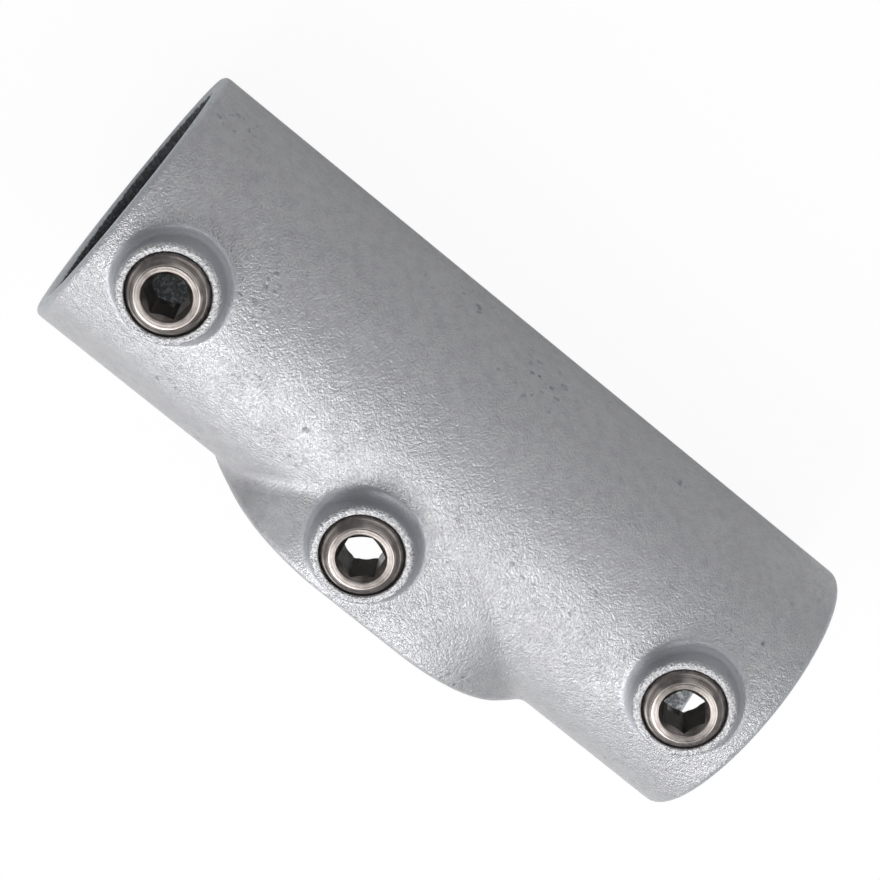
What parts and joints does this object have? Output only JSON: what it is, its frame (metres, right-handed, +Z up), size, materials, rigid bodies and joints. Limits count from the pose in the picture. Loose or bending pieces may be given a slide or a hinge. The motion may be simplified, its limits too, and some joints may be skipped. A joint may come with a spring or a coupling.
{
  "type": "tube clamp tee fitting",
  "caption": "Galvanised cast tee that joins rail tubes in a straight sleeve to an upright in a slotted outlet, held by hexagon socket grub screws.",
  "frame": {"origin": "where the rail axis meets the axis of an upright that stands square to the rails", "axes": "+X along the rail axis, towards the side that the upright can lean to; -Y out of the upright's outlet; +Z up, the way that the grub screws face"},
  "size_m": [0.159, 0.0598, 0.0657],
  "materials": {
    "galvanised_casting": "hot-dip galvanised over a sand-cast skin",
    "screw_steel": "turned and case-hardened steel"
  },
  "bodies": {
    "casting": {"fitting_body": "galvanised_casting"},
    "screw_left": {"grub_screw_left": "screw_steel"},
    "screw_middle": {"grub_screw_middle": "screw_steel"},
    "screw_right": {"grub_screw_right": "screw_steel"}
  },
  "joints": [
    {"name": "screw_left_travel", "type": "slide", "parent": "casting", "child": "screw_left", "axis": [0, 0, 1], "range_m": [-0.004, 0.006]},
    {"name": "screw_middle_travel", "type": "slide", "parent": "casting", "child": "screw_middle", "axis": [0, 0, 1], "range_m": [-0.004, 0.006]},
    {"name": "screw_right_travel", "type": "slide", "parent": "casting", "child": "screw_right", "axis": [0, 0, 1], "range_m": [-0.004, 0.006]}
  ]
}
